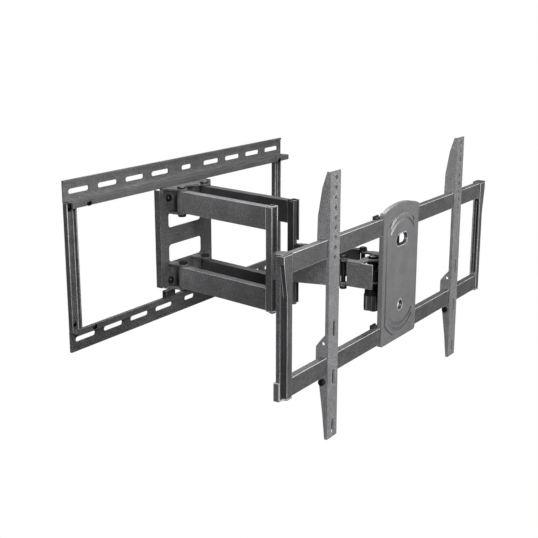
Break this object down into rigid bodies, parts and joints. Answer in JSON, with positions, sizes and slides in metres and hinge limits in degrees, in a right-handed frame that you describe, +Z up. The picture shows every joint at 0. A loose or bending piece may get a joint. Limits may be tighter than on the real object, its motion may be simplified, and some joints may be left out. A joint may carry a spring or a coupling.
{
  "type": "full motion tv wall mount",
  "caption": "Articulating steel wall mount for a television: slotted wall plate, sliding bracket, twin parallel arms, swivel and tilt head, and a wide frame with hook-on hangers.",
  "frame": {"origin": "centre of the wall plate's back face, on the wall", "axes": "+X along the wall plate to the right as seen from the room, +Y into the wall, +Z up"},
  "size_m": [0.7657, 0.5016, 0.418],
  "materials": {
    "charcoal_steel": "satin charcoal powder coat",
    "black_steel": "black coated steel fasteners",
    "black_plastic": "moulded, lightly textured",
    "black_nylon": "nylon washers"
  },
  "bodies": {
    "wall_plate": {"wall_rail_upper": "charcoal_steel", "wall_rail_lower": "charcoal_steel", "wall_post_left": "charcoal_steel", "wall_post_right": "charcoal_steel", "wall_post_screws": "black_steel", "bracket_travel_stops": "black_steel"},
    "sliding_bracket": {"bracket_plate": "charcoal_steel", "bracket_lug_top": "charcoal_steel", "bracket_lug_bottom": "charcoal_steel", "bracket_lugs_upper_inner": "charcoal_steel", "bracket_lugs_lower_inner": "charcoal_steel", "bracket_hooks_upper": "black_steel", "bracket_hooks_lower": "black_steel", "bracket_clamp_bolts": "black_steel", "shoulder_pins": "black_steel", "shoulder_washers": "black_nylon"},
    "near_first_arm": {"near_first_beam_upper": "charcoal_steel", "near_first_beam_lower": "charcoal_steel", "near_elbow_post": "charcoal_steel", "near_elbow_caps": "charcoal_steel", "near_elbow_pin": "black_steel", "near_elbow_sleeves": "charcoal_steel", "near_elbow_washers": "black_nylon"},
    "near_second_arm": {"near_second_beam": "charcoal_steel"},
    "far_first_arm": {"far_first_beam_upper": "charcoal_steel", "far_first_beam_lower": "charcoal_steel", "far_elbow_post": "charcoal_steel", "far_elbow_caps": "charcoal_steel", "far_elbow_pin": "black_steel", "far_elbow_sleeves": "charcoal_steel", "far_elbow_washers": "black_nylon"},
    "far_second_arm": {"far_second_beam": "charcoal_steel"},
    "head": {"head_plate_lower": "charcoal_steel", "head_plate_upper": "charcoal_steel", "head_sides": "charcoal_steel", "wrist_pins": "black_steel", "wrist_washers": "black_nylon", "swivel_bolt": "black_steel", "swivel_spacer": "charcoal_steel", "swivel_washers": "black_steel"},
    "swivel_knob": {"swivel_knob": "black_plastic"},
    "swivel_block": {"swivel_block": "charcoal_steel"},
    "tv_frame": {"tilt_plate": "charcoal_steel", "tilt_bolt": "black_steel", "tilt_nut": "black_steel", "tv_rail_upper": "charcoal_steel", "tv_rail_lower": "charcoal_steel", "tv_end_post_left": "charcoal_steel", "tv_end_post_right": "charcoal_steel", "tv_frame_end_caps": "black_plastic", "tv_frame_feet": "black_plastic", "tv_cover": "black_plastic", "tv_rail_bolts": "black_steel"},
    "left_hanger": {"hanger_left": "charcoal_steel", "hanger_left_lock_screw": "black_steel"},
    "right_hanger": {"hanger_right": "charcoal_steel", "hanger_right_lock_screw": "black_steel"}
  },
  "joints": [
    {"name": "bracket_slide", "type": "slide", "parent": "wall_plate", "child": "sliding_bracket", "axis": [1, 0, 0], "range_m": [-0.191, 0.269]},
    {"name": "near_shoulder", "type": "hinge", "parent": "sliding_bracket", "child": "near_first_arm", "pos_m": [-0.088, -0.058, 0.011], "axis": [0, 0, 1], "range_deg": [-48, 10]},
    {"name": "far_shoulder", "type": "hinge", "parent": "sliding_bracket", "child": "far_first_arm", "pos_m": [-0.018, -0.058, 0.011], "axis": [0, 0, 1], "range_deg": [-48, 10]},
    {"name": "near_elbow", "type": "hinge", "parent": "near_first_arm", "child": "near_second_arm", "pos_m": [-0.12613, -0.28583, 0.0005], "axis": [0, 0, 1], "range_deg": [-20, 96]},
    {"name": "far_elbow", "type": "hinge", "parent": "far_first_arm", "child": "far_second_arm", "pos_m": [-0.05613, -0.28583, 0.0005], "axis": [0, 0, 1], "range_deg": [-20, 96]},
    {"name": "near_wrist", "type": "hinge", "parent": "near_second_arm", "child": "head", "pos_m": [-0.09473, -0.40992, 0.0005], "axis": [0, 0, 1], "range_deg": [-48, 10]},
    {"name": "tv_swivel", "type": "hinge", "parent": "head", "child": "swivel_block", "pos_m": [-0.05973, -0.44992, 0.0005], "axis": [0, 0, 1], "range_deg": [-30, 30]},
    {"name": "swivel_knob_turn", "type": "hinge", "parent": "head", "child": "swivel_knob", "pos_m": [-0.05973, -0.44992, -0.045], "axis": [0, 0, 1], "range_deg": [-180, 180]},
    {"name": "tv_tilt", "type": "hinge", "parent": "swivel_block", "child": "tv_frame", "pos_m": [-0.05973, -0.46992, 0.0005], "axis": [1, 0, 0], "range_deg": [-5, 12]},
    {"name": "left_hanger_slide", "type": "slide", "parent": "tv_frame", "child": "left_hanger", "axis": [1, 0, 0], "range_m": [-0.098, 0.13]},
    {"name": "right_hanger_slide", "type": "slide", "parent": "tv_frame", "child": "right_hanger", "axis": [1, 0, 0], "range_m": [-0.14, 0.09]}
  ],
  "couplings": [
    {"joint": "far_shoulder", "follows": "near_shoulder", "ratio": 1},
    {"joint": "near_elbow", "follows": "near_shoulder", "ratio": -2},
    {"joint": "far_elbow", "follows": "near_shoulder", "ratio": -2},
    {"joint": "near_wrist", "follows": "near_shoulder", "ratio": 1}
  ]
}
